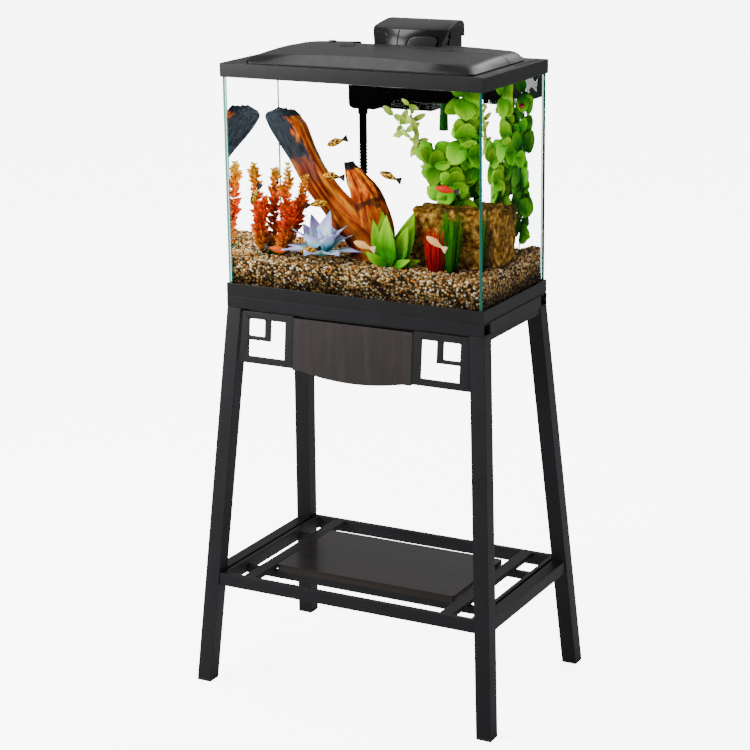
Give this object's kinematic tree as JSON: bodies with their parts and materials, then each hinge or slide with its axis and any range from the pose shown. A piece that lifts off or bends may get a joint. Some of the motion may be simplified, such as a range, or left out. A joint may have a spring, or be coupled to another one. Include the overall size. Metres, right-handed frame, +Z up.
{
  "type": "aquarium on stand",
  "caption": "Glass aquarium with black frames, domed hood, hang-on filter and planted contents, on a splayed black steel stand with cut-out corners and a low shelf.",
  "frame": {"origin": "on the floor, under the middle of the tank", "axes": "+Z up, +X to the right seen from the front, +Y to the back"},
  "size_m": [0.612, 0.4104, 1.211],
  "materials": {
    "steel_black": "satin black powder coat",
    "pad_rubber": "matt black rubber",
    "frame_plastic": "satin black moulded plastic",
    "hood_plastic": "fine-grained black moulded plastic",
    "filter_plastic": "semi-gloss black moulded plastic",
    "espresso_wood": "dark espresso wood veneer under a satin to glossy lacquer",
    "tank_glass": "clear float glass with green cut edges",
    "pin_steel": "bright steel",
    "lens_white": "frosted white",
    "impeller_white": "white moulded plastic",
    "floss": "pale blue filter floss",
    "switch_grey": "satin dark grey",
    "gravel_mix": "mixed tan, brown, orange, white and black gravel",
    "driftwood_wood": "orange-brown grained driftwood with dark tips",
    "stone_resin": "brown stone with green-grey moss",
    "flower_silk": "pale blue and violet petals",
    "foliage_red": "red, orange and yellow feathery leaves",
    "foliage_lime": "light green pointed leaves",
    "foliage_green": "mid green round leaves"
  },
  "bodies": {
    "stand_and_tank": {"leg_front_left": "steel_black", "leg_front_right": "steel_black", "leg_back_left": "steel_black", "leg_back_right": "steel_black", "foot_pad_front_left": "pad_rubber", "foot_pad_front_right": "pad_rubber", "foot_pad_back_left": "pad_rubber", "foot_pad_back_right": "pad_rubber", "top_rail_front": "steel_black", "top_rail_back": "steel_black", "top_rail_left": "steel_black", "top_rail_right": "steel_black", "side_bar_left": "steel_black", "side_bar_right": "steel_black", "cross_bar_front": "steel_black", "cross_bar_back": "steel_black", "fretwork_left": "steel_black", "fretwork_right": "steel_black", "apron": "espresso_wood", "shelf_tube_left": "steel_black", "shelf_tube_right": "steel_black", "shelf_rail_front": "steel_black", "shelf_rail_back": "steel_black", "shelf_side_bar_left": "steel_black", "shelf_side_bar_right": "steel_black", "shelf_strap_left": "steel_black", "shelf_strap_right": "steel_black", "shelf_support_front": "steel_black", "shelf_support_back": "steel_black", "shelf_panel": "espresso_wood", "tank_base_frame": "frame_plastic", "tank_top_frame": "frame_plastic", "glass_left": "tank_glass", "glass_right": "tank_glass", "glass_front": "tank_glass", "glass_back": "tank_glass", "glass_bottom": "tank_glass", "filter_box": "filter_plastic", "return_shroud": "filter_plastic", "pump_housing": "filter_plastic", "intake_tube": "filter_plastic", "strainer": "filter_plastic", "filter_cartridge": "floss", "gravel_bed": "gravel_mix", "driftwood": "driftwood_wood", "stone_block": "stone_resin", "flower_ornament": "flower_silk", "plant_red_bush": "foliage_red", "plant_broadleaf": "foliage_lime", "plant_tall": "foliage_green"},
    "hood": {"hood_deck": "hood_plastic", "hood_rear_cap": "hood_plastic", "lid_hinge_pin_left": "pin_steel", "lid_hinge_pin_right": "pin_steel", "light_bar": "hood_plastic", "light_lens": "lens_white"},
    "lid": {"hood_lid": "hood_plastic"},
    "filter_cover": {"filter_cover": "filter_plastic"},
    "impeller": {"impeller": "impeller_white"},
    "light_switch": {"light_switch": "switch_grey"}
  },
  "joints": [
    {"name": "hood_lift", "type": "slide", "parent": "stand_and_tank", "child": "hood", "axis": [0, 0, 1], "range_m": [0, 0.08]},
    {"name": "lid_hinge", "type": "hinge", "parent": "hood", "child": "lid", "pos_m": [0, 0.024, 1.1773], "axis": [-1, 0, 0], "range_deg": [0, 100]},
    {"name": "filter_cover_lift", "type": "slide", "parent": "stand_and_tank", "child": "filter_cover", "axis": [0, 0, 1], "range_m": [0, 0.06]},
    {"name": "impeller_spin", "type": "hinge", "parent": "stand_and_tank", "child": "impeller", "pos_m": [-0.064, 0.107, 1.092], "axis": [0, 0, 1], "continuous": true},
    {"name": "light_switch_press", "type": "slide", "parent": "hood", "child": "light_switch", "axis": [0, 0, -1], "range_m": [0, 0.002], "stiffness_N_per_m": 500, "springref_m": -0.001}
  ]
}
